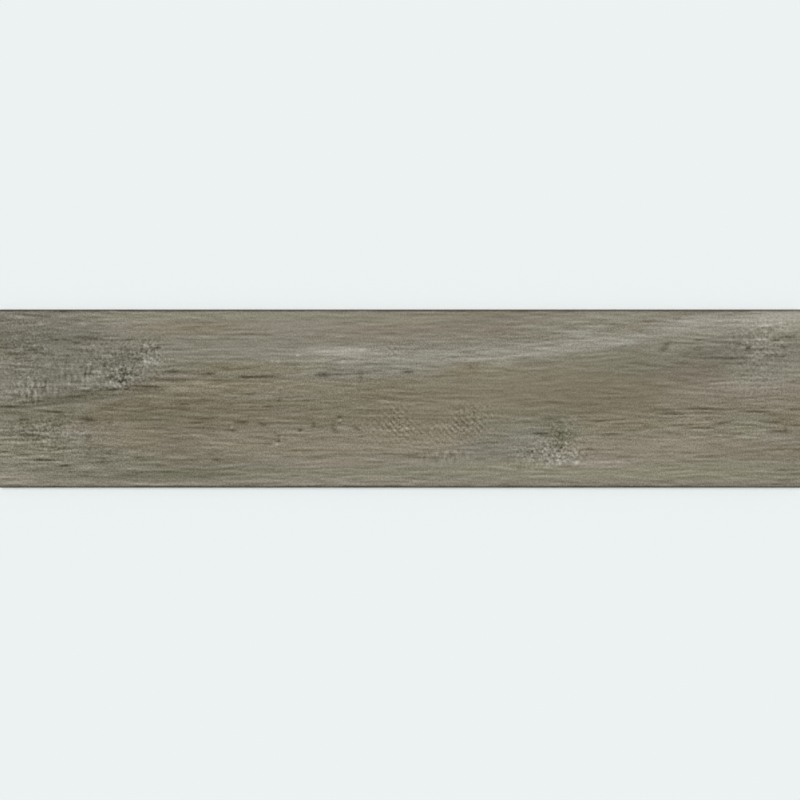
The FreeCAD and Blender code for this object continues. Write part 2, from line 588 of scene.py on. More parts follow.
DOTS = (
    # The knot at the lower right of the swirl
    Dot(-313.5, 18.5, 1.9, -0.45),
    Dot(-309.5, 21, 1.7, -0.42),
    Dot(-309.5, 33, 1.6, -0.36),
    Dot(-306, 11.5, 1.8, -0.2),
    Dot(-324, 24, 1.5, -0.26),
    Dot(-351, 35.5, 1.7, -0.2),
    Dot(-288.5, 34.5, 1.7, -0.22),
    Dot(-286, 54.5, 1.6, -0.22),
    Dot(-284, 14, 2.2, -0.12),
    Dot(-316.5, 17.5, 1.5, 0.34),
    Dot(-309.5, 18, 1.4, 0.3),
    Dot(-324, 18.5, 1.7, 0.26),
    Dot(-329, 15, 1.6, 0.18),
    Dot(-285.6, 42.2, 2, 0.36),
    Dot(-286, 60.1, 1.9, 0.3),
    Dot(-343.2, 60.1, 1.9, 0.2),
    Dot(-402.7, 83.7, 1.9, 0.12),
    Dot(-355.6, 83.7, 1.9, 0.11),
    Dot(-393.7, 38.8, 1.9, 0.18),
    Dot(-381.4, 38.8, 1.8, 0.16),
    # The small knots of the brown wood
    Dot(-137, 42, 1.6, 0.2),
    Dot(-143.5, 42, 1.5, 0.16),
    Dot(-114.5, 48.5, 1.6, 0.18),
    Dot(-65, 42, 1.5, 0.16),
    Dot(-134.5, 12, 1.6, 0.2),
    Dot(-134.5, 9, 1.6, -0.16),
    Dot(-135.5, -2, 1.7, -0.16),
    Dot(-67.5, -24, 1.8, 0.28),
    Dot(-68, -20, 1.5, -0.22),
    Dot(-67.5, -27.5, 1.5, -0.2),
    Dot(-140, -38.5, 1.7, -0.2),
    Dot(-136, -42, 1.6, -0.22),
    Dot(-136.5, -47.5, 1.7, -0.28),
    Dot(-138.5, -51, 1.8, 0.22),
    Dot(-112, -35, 1.7, -0.15),
    Dot(-187.5, -35.5, 1.8, -0.15),
    Dot(-188.5, -32, 1.6, 0.22),
    Dot(-113, -60, 1.8, 0.16),
    # The knot right of the middle
    Dot(179.5, -38.5, 2.4, -0.12),
    Dot(181, -46, 1.9, -0.16),
    Dot(180.5, -54.5, 1.8, -0.24),
    Dot(172.5, -34, 2, -0.14),
    Dot(174, -32, 1.6, 0.14),
    Dot(198, -71.5, 2, 0.28),
    Dot(165, -76, 1.8, 0.16),
    Dot(178, -73, 1.8, 0.2),
    # The specks at the right end
    Dot(390.5, 57, 1.7, -0.42),
    Dot(389.5, 62.5, 1.5, 0.22),
    Dot(403.5, 66.5, 1.8, 0.2),
)

BREAKUPS = (
    Breakup(-385, 20, 55, 16, Break.FLECK, 0.52),
    Breakup(-412, 6, 22, 10, Break.FLECK, 0.85),
    Breakup(-340, 36, 30, 20, Break.FLECK, 0.62),
    Breakup(142, -72, 20, 9, Break.FLECK, 0.9),
    Breakup(54, -65, 30, 9, Break.FLECK, 0.9),
    Breakup(-310, 38, 52, 30, Break.SPECKLE, 0.42),
    Breakup(-312, 24, 18, 12, Break.SPECKLE, 0.35),
    Breakup(-282, 52, 14, 12, Break.SPECKLE, 0.4),
    Breakup(-420, 45, 40, 40, Break.SPECKLE, 0.35),
    Breakup(182, -38, 20, 14, Break.SPECKLE, 0.35),
    Breakup(172, -62, 44, 14, Break.SPECKLE, 0.85),
    Breakup(-4, -24, 18, 16, Break.SPECKLE, 0.35),
    Breakup(-400, -52, 85, 40, Break.SPECKLE, 0.22),
    Breakup(395, 60, 60, 34, Break.SPECKLE, 0.14),
    Breakup(80, -22, 32, 18, Break.SPECKLE, 0.35),
    Breakup(30, -38, 60, 10, Break.SPECKLE, 0.25),
    Breakup(405, 62, 34, 26, Break.SPECKLE, 0.27),
    Breakup(-400, -34, 50, 22, Break.SPECKLE, 0.3),
    Breakup(-5, -22, 17, 17, Break.RIPPLE, 0.9),
    Breakup(81, -24, 32, 19, Break.RIPPLE, 0.8),
    Breakup(34, -33, 62, 8, Break.RIPPLE, 0.6),
    Breakup(-30, -30, 16, 10, Break.RIPPLE, 0.6),
    Breakup(28, -47, 66, 9, Break.RIPPLE, 0.5),
    Breakup(183, -41, 18, 16, Break.RIPPLE, 0.7),
    Breakup(176, -66, 28, 12, Break.RIPPLE, 0.9),
    Breakup(-284, 41, 24, 26, Break.RIPPLE, 0.7),
    Breakup(-322, 26, 22, 15, Break.RIPPLE, 0.8),
    Breakup(-345, 54, 30, 16, Break.RIPPLE, 0.5),
    Breakup(398, 32, 18, 12, Break.RIPPLE, 0.25),
    Breakup(405, 74, 18, 14, Break.RIPPLE, 0.5),
    Breakup(-8, 54, 10, 9, Break.RIPPLE, 0.8),
    Breakup(0, 84, 330, 20, Break.VIGOUR, -0.38),
    Breakup(170, 12, 170, 26, Break.VIGOUR, -0.38),
    Breakup(-400, -60, 100, 36, Break.VIGOUR, 0.22),
    Breakup(-200, -25, 120, 26, Break.VIGOUR, -0.08),
    Breakup(35, -28, 85, 26, Break.VIGOUR, -0.25),
    Breakup(-185, 53, 110, 13, Break.VIGOUR, -0.25),
    Breakup(395, 52, 70, 28, Break.VIGOUR, -0.1),
    Breakup(370, -24, 110, 24, Break.VIGOUR, 0.18),
    Breakup(60, -76, 400, 18, Break.VIGOUR, -0.2),
)


@dataclass
class FigureFields:
    """What the wood figure is at each point of the face.

    Attributes:
        fibres: Grain coordinates in mm, along and across the fibres.
        stain: Level, warmth and blush of the print.
        breakup: The strength of each small figure, in the order of Break.
        grain: The middle sized streaks of the grain, about 0, from -1 to 1.
        cut: How deep the dark strokes are cut, from 0 to about 1.
        coarseness: The weights of fine, plain and coarse streaks.
    """

    fibres: np.ndarray
    stain: np.ndarray
    breakup: np.ndarray
    grain: np.ndarray
    cut: np.ndarray
    coarseness: np.ndarray


@dataclass(frozen=True)
class WoodFigure:
    """The printed figure of the board: how its grain runs and what lies on it.

    Attributes:
        guides: The lines that the grain follows, from the lowest to the highest.
        knots: What the grain bends round.
        stains: The patches of tone, in the order in which they are laid.
        washes: The thin washes over them.
        strokes: The dark and light lines.
        dots: The dark and light spots.
        breakups: Where the grain breaks into small figures.
        stain_gain: How much stronger than listed the stains are laid.
        stroke_gain: How much stronger than listed the strokes are laid.
        stroke_warmth: How much warmer a stroke gets for each share that it darkens.
        stroke_blush: How much pinker it gets.
        fibre_bend: The share of the bands' bends that the fibres follow.
        wander: How far the grain strays from its guides, in mm.
        wander_length: The length over which it strays, in mm.
        wander_width: The width over which neighbouring fibres stray together, in mm.
        wander_seed: The layer of the noise that they stray by.
        streak_length: The length of the middle sized streaks, in mm.
        streak_width: Their width, in mm.
        finer: How many times finer the streaks between them are, along the grain and across it.
        finer_share: How strong those are.
        streak_seeds: The layers of the noise for both.
    """

    guides: tuple[GrainGuide, ...] = GUIDES
    knots: tuple[Knot, ...] = KNOTS
    stains: tuple[Stain, ...] = STAINS
    washes: tuple[Wash, ...] = WASHES
    strokes: tuple[Stroke, ...] = STROKES
    dots: tuple[Dot, ...] = DOTS
    breakups: tuple[Breakup, ...] = BREAKUPS
    stain_gain: float = 1.3
    stroke_gain: float = 1.2
    stroke_warmth: float = 2.8
    stroke_blush: float = 2.0
    fibre_bend: float = 0.05
    wander: float = 0.3
    wander_length: float = 90.0
    wander_width: float = 30.0
    wander_seed: float = 2.5
    streak_length: float = 75.0
    streak_width: float = 4.0
    finer: Span = (2.3, 2.1)
    finer_share: float = 0.6
    streak_seeds: Span = (11.5, 37.5)

    def flow_at(self, places: np.ndarray) -> np.ndarray:
        """Follows the grain at each place.

        Args:
            places: Places on the face as (x, y), in mm.

        Returns:
            Grain coordinates in mm: how far along the grain and how far across it each place is.
        """
        x, y = places.T
        heights = np.stack([guide.height_at(x) for guide in self.guides])
        across = np.full(len(x), self.guides[0].across)
        for below, above, low, high in zip(self.guides, self.guides[1:], heights, heights[1:]):
            share = np.clip((y - low) / (high - low), 0.0, 1.0)
            across += share * (above.across - below.across)
        stray = self._noise(x / self.wander_length, y / self.wander_width, self.wander_seed)
        across += self.wander * stray
        return np.stack([x, across], axis=1)

    def bent_flow_at(self, places: np.ndarray) -> np.ndarray:
        """Follows the grain at each place, and bends it round the knots.

        Args:
            places: Places on the face as (x, y), in mm.

        Returns:
            Grain coordinates in mm.
        """
        flow = self.flow_at(places)
        for knot in self.knots:
            middle = self.flow_at(np.array([[knot.x, knot.y]]))[0, 1]
            squared = ((places - (knot.x, knot.y)) ** 2).sum(axis=1)
            hold = knot.push * np.exp(-squared / (2.0 * knot.radius**2))
            flow[:, 1] -= (flow[:, 1] - middle) * hold
        return flow

    def fibres_at(self, places: np.ndarray) -> np.ndarray:
        """Follows the fibres at each place, which run straighter than the bands of colour do, in mm."""
        return places + (self.bent_flow_at(places) - places) * self.fibre_bend

    def coarseness_at(self, places: np.ndarray) -> np.ndarray:
        """Weighs fine, plain and coarse streaks so that they look equally wide wherever the grain spreads.

        Args:
            places: Places on the face as (x, y), in mm.

        Returns:
            Three weights for each place, whose squares add up to 1.
        """
        reach = 1.5
        above = self.fibres_at(places + (0.0, reach))[:, 1]
        below = self.fibres_at(places - (0.0, reach))[:, 1]
        crowding = (above - below) / (2.0 * reach)
        doubling = np.log2(np.clip(crowding, 0.5, 2.0))
        fine = np.maximum(-doubling, 0.0)
        coarse = np.maximum(doubling, 0.0)
        weights = np.stack([fine, 1.0 - fine - coarse, coarse], axis=1)
        return weights / np.linalg.norm(weights, axis=1, keepdims=True)

    def fields_at(self, places: np.ndarray) -> FigureFields:
        """Draws the whole figure.

        Args:
            places: Places on the face as (x, y), in mm.

        Returns:
            The figure's fields at those places.
        """
        flow = self.bent_flow_at(places)
        stain = np.zeros((len(places), 3))
        for patch in self.stains:
            share = patch.weight(flow, self._middle(patch))[:, None]
            stain += (np.array([patch.level * self.stain_gain, *patch.tint.value]) - stain) * share
        for wash in self.washes:
            share = wash.weight(flow, self._middle(wash))[:, None]
            stain += share * (wash.level, wash.warmth, wash.blush)
        # Strokes and dots keep their place on the plank and don't bend with the grain
        cut = np.zeros(len(places))
        lines = [stroke.level * stroke.weight(places, (stroke.x, stroke.y)) for stroke in self.strokes]
        spots = [dot.level * dot.weight(places) for dot in self.dots]
        for change in lines + spots:
            stain += self.stroke_gain * change[:, None] * (1.0, -self.stroke_warmth, -self.stroke_blush)
            cut += np.maximum(-change, 0.0)
        breakup = np.zeros((len(places), len(Break)))
        breakup[:, Break.VIGOUR.value] = 1.0
        for patch in self.breakups:
            breakup[:, patch.kind.value] += patch.strength * patch.weight(flow, self._middle(patch))
        fibres = self.fibres_at(places)
        grain = self._streaks(fibres)
        coarseness = self.coarseness_at(places)
        return FigureFields(fibres, stain, np.clip(breakup, 0.0, 2.0), grain, cut, coarseness)

    def _middle(self, patch: Patch) -> np.ndarray:
        """The grain coordinates of a patch's middle, in mm."""
        return self.bent_flow_at(np.array([[patch.x, patch.y]]))[0]

    def _streaks(self, flow: np.ndarray) -> np.ndarray:
        """The middle sized streaks, from two sizes of noise stretched along the grain.

        Args:
            flow: Grain coordinates, in mm.

        Returns:
            One value about 0 for each point.
        """
        along = flow[:, 0] / self.streak_length
        across = flow[:, 1] / self.streak_width
        wide = self._noise(along, across, self.streak_seeds[0])
        fine = self._noise(along * self.finer[0], across * self.finer[1], self.streak_seeds[1])
        return np.clip(wide + self.finer_share * fine, -1.0, 1.0)

    @staticmethod
    def _noise(first: np.ndarray, second: np.ndarray, seed: float) -> np.ndarray:
        """Plain gradient noise from -1 to 1 at each point, from one layer of it."""
        points = zip(first.tolist(), second.tolist())
        return np.array([noise.noise(Vector((a, b, seed))) for a, b in points])


@dataclass(frozen=True)
class NoiseLayer:
    """One layer of noise.

    Attributes:
        size: How large one swell of it is along each axis, in mm.
        seed: Where in the endless noise it is read.
        detail: How many finer octaves are added.
        harshness: How strong each finer octave is.
        echo: How far across its reverse lies, in swells, so that a light line runs beside each dark one; in
            the print's tone that light line is a painted highlight along the dark pore line.
            It has none at 0.
    """

    size: tuple[float, float, float]
    seed: float
    detail: float = 2.0
    harshness: float = 0.55
    echo: float = 0.0


@dataclass(frozen=True)
class GrainLayer:
    """One layer of streaks in the print.

    Attributes:
        noise: Its shape.
        strength: How far it lightens and darkens the print, as a share.
        height: How far it raises and sinks the glaze, in mm.
    """

    noise: NoiseLayer
    strength: float
    height: float


@dataclass
class NodeGraph:
    """Adds nodes to a shader tree and links them.

    Attributes:
        tree: The node tree of a material or of the world.
    """

    tree: bpy.types.NodeTree

    @classmethod
    def blank(cls, owner: bpy.types.Material | bpy.types.World) -> "NodeGraph":
        """Switches a material or the world over to nodes and empties its tree.

        Args:
            owner: The material or the world.

        Returns:
            The graph of its empty tree.
        """
        owner.use_nodes = True
        owner.node_tree.nodes.clear()
        return cls(owner.node_tree)

    def add(self, kind: str, *values: Feed, **settings: object) -> bpy.types.Node:
        """Adds one node.

        Args:
            kind: Blender's name of the node type.
            values: What its first inputs take, in their order.
            settings: Properties of the node and their values.

        Returns:
            The new node.
        """
        node = self.tree.nodes.new(kind)
        for name, value in settings.items():
            setattr(node, name, value)
        for socket, value in zip(node.inputs, values):
            self.feed(socket, value)
        return node

    def feed(self, socket: Socket, value: Feed) -> None:
        """Links an output to an input, or writes a plain value on it.

        Args:
            socket: The input.
            value: The output or the plain value.
        """
        if isinstance(value, Socket):
            self.tree.links.new(value, socket)
        else:
            socket.default_value = value

    def math(self, operation: str, *values: Feed) -> Socket:
        """Works out one operation on one value or two."""
        return self.add("ShaderNodeMath", *values, operation=operation).outputs[0]

    def scaled(self, value: Feed, factor: Feed) -> Socket:
        """Multiplies a value by a factor."""
        return self.math("MULTIPLY", value, factor)

    def total(self, *terms: Feed) -> Socket:
        """Adds values up.

        Args:
            terms: Two values or more.

        Returns:
            Their sum.
        """
        result = terms[0]
        for term in terms[1:]:
            result = self.math("ADD", result, term)
        return result

    def attribute(self, name: str) -> bpy.types.Node:
        """Reads one attribute of the mesh."""
        return self.add("ShaderNodeAttribute", attribute_name=name)

    def axes(self, vector: Socket) -> bpy.types.NodeOutputs:
        """Takes a vector apart into its X, Y and Z."""
        return self.add("ShaderNodeSeparateXYZ", vector).outputs

    def eased(self, value: Feed, span: Span, results: Span = (0.0, 1.0)) -> Socket:
        """Adds a Map Range node that eases smoothly between its ends.

        Args:
            value: What is mapped.
            span: The values between which it is eased.
            results: The results at and below the first of them, and at and above the second.

        Returns:
            The mapped value.
        """
        node = self.add("ShaderNodeMapRange", value, interpolation_type="SMOOTHSTEP")
        node.inputs["From Min"].default_value, node.inputs["From Max"].default_value = span
        node.inputs["To Min"].default_value, node.inputs["To Max"].default_value = results
        return node.outputs["Result"]

    def noise(self, vector: Socket, layer: NoiseLayer) -> Socket:
        """Adds one layer of noise, centred about 0, and its echo where it has one.

        Args:
            vector: The coordinates, in metres.
            layer: The size and make of the noise.

        Returns:
            The noise, from about -0.5 to 0.5.
        """
        plain = self.plain_noise(vector, layer, 0.0)
        if not layer.echo:
            return plain
        return self.math("SUBTRACT", plain, self.plain_noise(vector, layer, layer.echo))

    def plain_noise(self, vector: Socket, layer: NoiseLayer, shift: float) -> Socket:
        """Adds one layer of noise without its echo.

        Args:
            vector: The coordinates, in metres.
            layer: The size and make of the noise.
            shift: How far across it is moved, in swells.

        Returns:
            The noise, from about -0.5 to 0.5.
        """
        mean = 0.5
        along, across, deep = (layer.seed * step for step in SEED_STEPS)
        placed = self.add("ShaderNodeMapping", vector)
        placed.inputs["Scale"].default_value = [1.0 / (size * MM) for size in layer.size]
        placed.inputs["Location"].default_value = (along, across + shift, deep)
        texture = self.add("ShaderNodeTexNoise", placed.outputs["Vector"], noise_dimensions="3D")
        texture.inputs["Scale"].default_value = 1.0
        texture.inputs["Detail"].default_value = layer.detail
        texture.inputs["Roughness"].default_value = layer.harshness
        return self.math("SUBTRACT", texture.outputs["Fac"], mean)

    def streaks(self, vector: Socket, layer: NoiseLayer, weights: Socket) -> Socket:
        """Adds one layer of noise at half, whole and double width, and weighs the three.

        Args:
            vector: The coordinates, in metres.
            layer: The size and make of the noise.
            weights: The weights of the three, as a vector.

        Returns:
            The noise, from about -0.5 to 0.5.
        """
        along, across, deep = layer.size
        widths = []
        for factor in (0.5, 1.0, 2.0):
            widths.append(self.noise(vector, replace(layer, size=(along, across * factor, deep))))
        drawn = self.add("ShaderNodeCombineXYZ", *widths).outputs["Vector"]
        return self.add("ShaderNodeVectorMath", drawn, weights, operation="DOT_PRODUCT").outputs["Value"]

    def curl(self, vector: Socket, layer: NoiseLayer, spacing: float, bend: float) -> Socket:
        """Adds bent rows of small dots that are light and dark in turn.

        Args:
            vector: The coordinates, in metres.
            layer: The noise that bends the rows.
            spacing: How far apart the rows lie, in mm.
            bend: How strongly they are bent.

        Returns:
            The pattern, from -1 to 1.
        """
        axes = self.axes(vector)
        stray = self.scaled(self.noise(vector, layer), bend)
        waves = []
        for name, operation in (("X", "ADD"), ("Y", "SUBTRACT")):
            phase = self.scaled(axes[name], math.tau / (spacing * MM))
            waves.append(self.math("SINE", self.math(operation, phase, stray)))
        return self.scaled(*waves)

    def colour(self, red: Feed, green: Feed, blue: Feed) -> Socket:
        """Puts a colour together from its three shares."""
        return self.add("ShaderNodeCombineColor", red, green, blue, mode="RGB").outputs["Color"]

    def either(self, choice: Socket, first: Socket, second: Socket) -> Socket:
        """Takes the first shader where the choice is 0, and the second where it is 1."""
        return self.add("ShaderNodeMixShader", choice, first, second).outputs[0]

    def mixed(self, share: Feed, first: Colour | Socket, second: Colour | Socket) -> Socket:
        """Mixes two colours.

        Args:
            share: How much of the second colour is taken.
            first: The first colour, or where it comes from.
            second: The second colour, or where it comes from.

        Returns:
            The mixed colour.
        """
        node = self.add("ShaderNodeMix", data_type="RGBA")
        self.feed(node.inputs["Factor"], share)
        for socket, colour in zip((node.inputs["A"], node.inputs["B"]), (first, second)):
            plain = isinstance(colour, tuple)
            self.feed(socket, (*colour, 1.0) if plain else colour)
        return node.outputs["Result"]

    def surface(self, colour: Socket, roughness: Feed, height: Feed) -> None:
        """Adds the shader that a material ends in, with its bump.

        Args:
            colour: The surface's colour.
            roughness: Its roughness.
            height: The height of its finest relief, in mm.
        """
        bump = self.add("ShaderNodeBump")
        bump.inputs["Distance"].default_value = MM
        bump.inputs["Strength"].default_value = 1.0
        self.feed(bump.inputs["Height"], height)
        shader = self.add("ShaderNodeBsdfPrincipled")
        self.feed(shader.inputs["Base Color"], colour)
        self.feed(shader.inputs["Roughness"], roughness)
        self.feed(shader.inputs["Normal"], bump.outputs["Normal"])
        self.add("ShaderNodeOutputMaterial", shader.outputs["BSDF"])


@dataclass(frozen=True)
class PrintedGlaze:
    """The face's finish: a matt glaze over an inkjet print of wood.

    Attributes:
        name: The material's name.
        red: The mean red that the face shows, in linear light.
        sheen: The part of what it shows that is the glaze's own sheen, and not the print.
        green_share: Green as a share of red.
        blue_share: Blue as a share of red.
        green_per_blush: How much of that share the blush takes away.
        blue_per_warmth: How much of that share the warmth takes away.
        green_per_tone: How much green a lighter fibre gains.
        blue_per_tone: How much blue it gains.
        roughness: The glaze's mean roughness.
        bands: The broad soft bands of the grain.
        streaks: The plain streaks.
        patches: Where the streaks are livelier and where they are calmer.
        fibres: The short fine fibres between the streaks.
        grit: The print's fine grit.
        dashes: The scattered dashes, which darken the print and sink the glaze.
        dash_span: The noise from which a dash begins to show, and from which it shows fully.
        ripple: The curl that crosses the grain right of the middle, in rows that its noise bends.
        ripple_spacing: How far apart its rows lie, in mm.
        ripple_bend: How strongly the noise bends them.
        fleck: The upright flecks of the swirl.
        speckle: The round specks about the knots.
        grain_strength: How far the middle sized streaks lighten and darken the print.
        least_life: The least that the streaks keep where they are calm.
        darkest_tone: The darkest that the print gets, as a share.
        contrast: The power by which the tones are spread.
        least_print: The darkest linear light that is printed.
        roughness_per_tone: How the roughness changes for each share by which the print is lighter.
    """

    name: str = "printed_glaze"
    red: float = 0.2016
    sheen: float = 0.044
    green_share: float = 0.9095
    blue_share: float = 0.667
    green_per_blush: float = 0.042
    blue_per_warmth: float = 0.105
    green_per_tone: float = 0.10
    blue_per_tone: float = 0.33
    roughness: float = 0.5
    bands: GrainLayer = GrainLayer(NoiseLayer((240.0, 7.5, 50.0), 3.0, detail=1.0), 0.11, 0.02)
    # The streaks' echo puts a light line beside each dark streak: in the tone a painted highlight along each
    # pore line, in the relief a ridge.
    streaks: GrainLayer = GrainLayer(NoiseLayer((26.0, 2.75, 50.0), 17.0, detail=0.2, echo=1.1), 0.235, 0.06)
    patches: GrainLayer = GrainLayer(NoiseLayer((60.0, 13.0, 50.0), 61.0, detail=1.0), 1.2, 0.0)
    fibres: GrainLayer = GrainLayer(NoiseLayer((4.0, 1.9, 50.0), 29.0, detail=0.5), 0.11, 0.05)
    grit: GrainLayer = GrainLayer(NoiseLayer((1.5, 1.9, 50.0), 97.0, detail=0.0), 0.32, 0.02)
    dashes: GrainLayer = GrainLayer(NoiseLayer((22.0, 3.2, 50.0), 43.0, detail=0.5), -0.04, -0.10)
    dash_span: Span = (0.13, 0.18)
    ripple: GrainLayer = GrainLayer(NoiseLayer((9.0, 9.0, 50.0), 57.0, detail=1.0), 0.11, 0.05)
    ripple_spacing: float = 7.4
    ripple_bend: float = 15.0
    fleck: GrainLayer = GrainLayer(NoiseLayer((3.7, 9.0, 50.0), 71.0, detail=0.6), 0.66, 0.08)
    speckle: GrainLayer = GrainLayer(NoiseLayer((2.8, 2.8, 50.0), 83.0, detail=0.7), 1.25, 0.10)
    grain_strength: float = 0.035
    least_life: float = 0.2
    darkest_tone: float = -0.43
    contrast: float = 2.25
    least_print: float = 0.004
    roughness_per_tone: float = -0.35

    def build(self) -> bpy.types.Material:
        """Makes the material.

        Returns:
            The finished material.
        """
        material = bpy.data.materials.new(self.name)
        graph = NodeGraph.blank(material)
        stain = graph.axes(graph.attribute("stain").outputs["Vector"])
        vigour = graph.attribute("breakup").outputs["Alpha"]
        tones = []
        heights = []
        for layer, shape, mask in self._drawn(graph, vigour):
            shown = graph.scaled(shape, mask)
            tones.append(graph.scaled(shown, layer.strength))
            heights.append(graph.scaled(shown, layer.height))
        grain = graph.attribute("grain").outputs["Fac"]
        tones.append(graph.scaled(graph.scaled(grain, vigour), self.grain_strength))
        fine_tone = graph.total(*tones)
        tone = graph.math("MAXIMUM", graph.total(stain["X"], fine_tone), self.darkest_tone)

        light = graph.math("POWER", graph.math("ADD", tone, 1.0), self.contrast)
        shown_light = [graph.scaled(light, self.red)]
        leanings = (
            (self.green_share, stain["Z"], self.green_per_blush, self.green_per_tone),
            (self.blue_share, stain["Y"], self.blue_per_warmth, self.blue_per_tone),
        )
        for share, leaning, per_leaning, per_tone in leanings:
            taken = graph.math("SUBTRACT", share, graph.scaled(leaning, per_leaning))
            whole = graph.math("ADD", taken, graph.scaled(fine_tone, per_tone))
            shown_light.append(graph.scaled(shown_light[0], whole))
        printed = []
        for shown in shown_light:
            printed.append(graph.math("MAXIMUM", graph.math("SUBTRACT", shown, self.sheen), self.least_print))
        roughness = graph.total(self.roughness, graph.scaled(tone, self.roughness_per_tone))
        graph.surface(graph.colour(*printed), roughness, graph.total(*heights))
        return material

    def _drawn(self, graph: NodeGraph, vigour: Socket) -> list[tuple[GrainLayer, Socket, Socket]]:
        """Draws every layer of the grain.

        Args:
            graph: The material's graph.
            vigour: How lively the grain is.

        Returns:
            For each layer the layer itself, its shape and the mask that says where it shows.
        """
        flow = graph.attribute("grain_flow").outputs["Vector"]
        coarseness = graph.attribute("coarseness").outputs["Vector"]
        place = graph.add("ShaderNodeTexCoord").outputs["Object"]
        small = graph.attribute("breakup").outputs["Color"]
        ripple, fleck, speckle = graph.add("ShaderNodeSeparateColor", small, mode="RGB").outputs
        swell = graph.scaled(graph.noise(flow, self.patches.noise), self.patches.strength)
        life = graph.math("MAXIMUM", graph.math("ADD", swell, 1.0), self.least_life)
        lively = graph.scaled(vigour, life)
        drawn = []
        for layer, mask in ((self.bands, vigour), (self.streaks, lively), (self.fibres, lively)):
            drawn.append((layer, graph.streaks(flow, layer.noise, coarseness), mask))
        curl = graph.curl(place, self.ripple.noise, self.ripple_spacing, self.ripple_bend)
        drawn.append((self.ripple, curl, ripple))
        for layer, mask in ((self.fleck, fleck), (self.speckle, speckle), (self.grit, vigour)):
            drawn.append((layer, graph.noise(place, layer.noise), mask))
        dashes = graph.streaks(flow, self.dashes.noise, coarseness)
        drawn.append((self.dashes, graph.eased(dashes, self.dash_span), lively))
        return drawn


@dataclass(frozen=True)
class PorcelainBody:
    """The finish of the edges and the back: glaze over the arris, painted dark as the shade of the rounded
    edge, bare porcelain and kiln wash.

    Attributes:
        name: The material's name.
        body: The colour of the bare porcelain.
        grit: The colour of its darker grains.
        shaded_arris_glaze: The colour of the glaze over the arris and the top of the edges, painted dark as
            the shade where the rounded edge turns from the light.
        wash: The colour of the kiln wash on the ribs of the back.
        glaze_end: How high above the bed the glaze ends, in mm.
        glaze_stray: How far that line strays, in mm.
        glaze_fade: How far below and above it the glaze fades, in mm.
        roughness: The roughness of the bare body and of the glaze on the arris.
        grains: The shape of the body's grains.
        clouds: The shape of its paler and darker clouds.
        wash_patches: The shape of the patches where the kiln wash is thick.
        glaze_line: The shape of the line in which the glaze ends.
        grit_span: The grains' noise from which they get darker, and from which they are darkest.
        grit_shares: The share of the darker colour at both.
        cloud_strength: How far the clouds lighten and darken the body, as a share.
        rib_span: How high above the bed the kiln wash begins to fade and ends, in mm.
        wash_span: The noise from which the wash gets thicker, and from which it is thickest.
        wash_shares: The share of the wash at both.
        grain_height: How far the grains stand out, in mm.
    """

    name: str = "porcelain_body"
    body: Colour = (0.40, 0.365, 0.31)
    grit: Colour = (0.22, 0.20, 0.17)
    shaded_arris_glaze: Colour = (0.076, 0.072, 0.055)
    wash: Colour = (0.72, 0.71, 0.68)
    glaze_end: float = 7.9
    glaze_stray: float = 1.4
    glaze_fade: Span = (-0.5, 0.3)
    roughness: Span = (0.72, 0.48)
    grains: NoiseLayer = NoiseLayer((0.9, 0.9, 0.9), 5.0, detail=3.0, harshness=0.75)
    clouds: NoiseLayer = NoiseLayer((38.0, 30.0, 38.0), 9.0, detail=3.0)
    wash_patches: NoiseLayer = NoiseLayer((46.0, 22.0, 46.0), 21.0, detail=4.0, harshness=0.62)
    glaze_line: NoiseLayer = NoiseLayer((9.0, 9.0, 60.0), 33.0, detail=3.0)
    grit_span: Span = (0.04, 0.22)
    grit_shares: Span = (0.0, 0.75)
    cloud_strength: float = 0.35
    rib_span: Span = (0.05, 0.25)
    wash_span: Span = (-0.08, 0.10)
    wash_shares: Span = (0.15, 0.9)
    grain_height: float = 0.12

    def build(self) -> bpy.types.Material:
        """Makes the material.

        Returns:
            The finished material.
        """
        material = bpy.data.materials.new(self.name)
        graph = NodeGraph.blank(material)
        place = graph.add("ShaderNodeTexCoord").outputs["Object"]
        height = graph.math("DIVIDE", graph.axes(place)["Z"], MM)

        grains = graph.noise(place, self.grains)
        bare = graph.mixed(graph.eased(grains, self.grit_span, self.grit_shares), self.body, self.grit)
        clouded = graph.math("ADD", 1.0, graph.scaled(graph.noise(place, self.clouds), self.cloud_strength))
        toned = graph.add("ShaderNodeVectorMath", bare, operation="SCALE")
        graph.feed(toned.inputs["Scale"], clouded)

        on_ribs = graph.eased(height, self.rib_span, (1.0, 0.0))
        thickness = graph.eased(graph.noise(place, self.wash_patches), self.wash_span, self.wash_shares)
        with_wash = graph.mixed(graph.scaled(on_ribs, thickness), toned.outputs["Vector"], self.wash)

        stray = graph.scaled(graph.noise(place, self.glaze_line), self.glaze_stray * 2.0)
        start, full = self.glaze_fade
        line = graph.math("ADD", height, stray)
        glazed = graph.eased(line, (self.glaze_end + start, self.glaze_end + full))
        roughness = graph.eased(glazed, (0.0, 1.0), self.roughness)
        # The glaze over the arris takes a dark colour that is painted shade of the rounded edge; its
        # roughness is the glaze's own.
        surface = graph.mixed(glazed, with_wash, self.shaded_arris_glaze)
        graph.surface(surface, roughness, graph.scaled(grains, self.grain_height))
        return material


